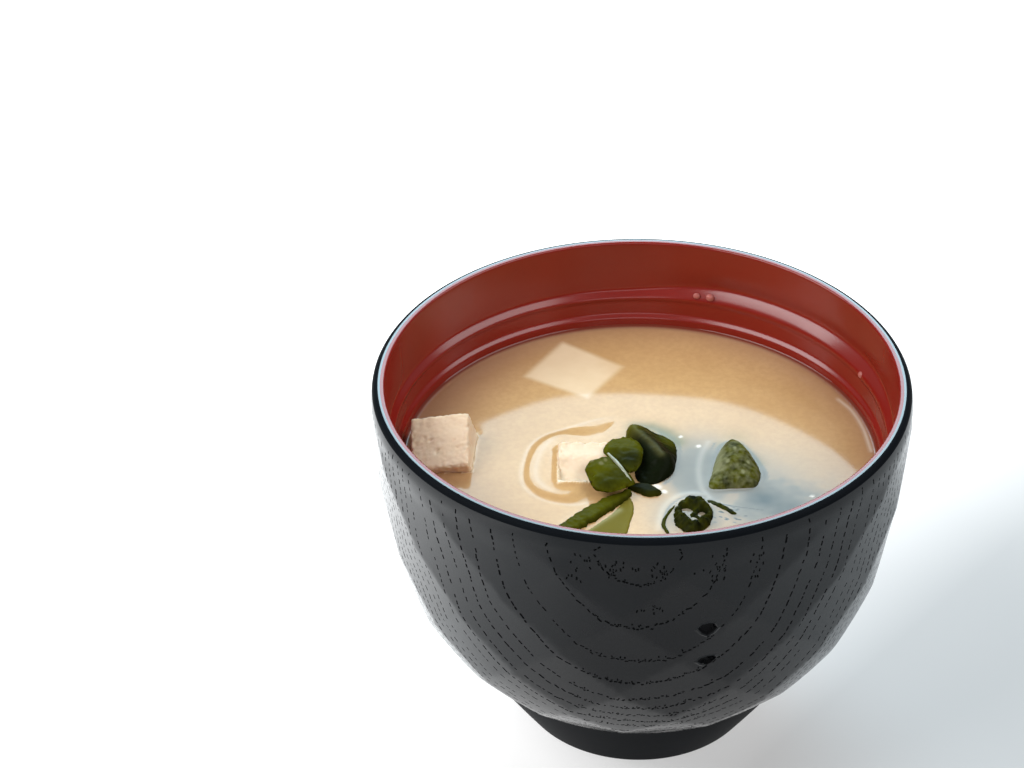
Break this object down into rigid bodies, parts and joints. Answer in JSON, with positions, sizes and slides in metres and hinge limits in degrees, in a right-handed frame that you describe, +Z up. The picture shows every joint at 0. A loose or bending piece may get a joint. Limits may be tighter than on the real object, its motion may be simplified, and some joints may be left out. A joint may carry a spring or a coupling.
{
  "type": "miso soup",
  "caption": "Miso soup with tofu dice and wakame in a round lacquered bowl, black and hand-carved outside with a turned foot, red inside with a ledge for a lid",
  "frame": {"origin": "centre of the underside of the bowl's foot, on the surface that it stands on", "axes": "+Z up, -Y the front with the two knots, +X to the right seen from the front"},
  "size_m": [0.1098, 0.1098, 0.0805],
  "materials": {
    "black_lacquer": "gloss black lacquer over carved, open-pored wood; the inside and the top of the lip are red lacquer",
    "red_lacquer": "smooth gloss red lacquer on the inside and over the lip",
    "miso_broth": "cloudy tan broth with a wet mirror-like surface",
    "tofu": "moist pale cream curd with fine pores and crumbly edges",
    "wakame": "wet dark green to olive seaweed, thin and ribbed"
  },
  "bodies": {
    "root": {"bowl": "black_lacquer", "soup": "miso_broth", "tofu_left": "tofu", "tofu_back": "tofu", "tofu_middle": "tofu", "wakame_fold": "wakame", "wakame_upper_lobe": "wakame", "wakame_lower_lobe": "wakame", "wakame_strip": "wakame", "wakame_tip": "wakame", "wakame_mound": "wakame", "wakame_curl": "wakame"}
  },
  "joints": []
}
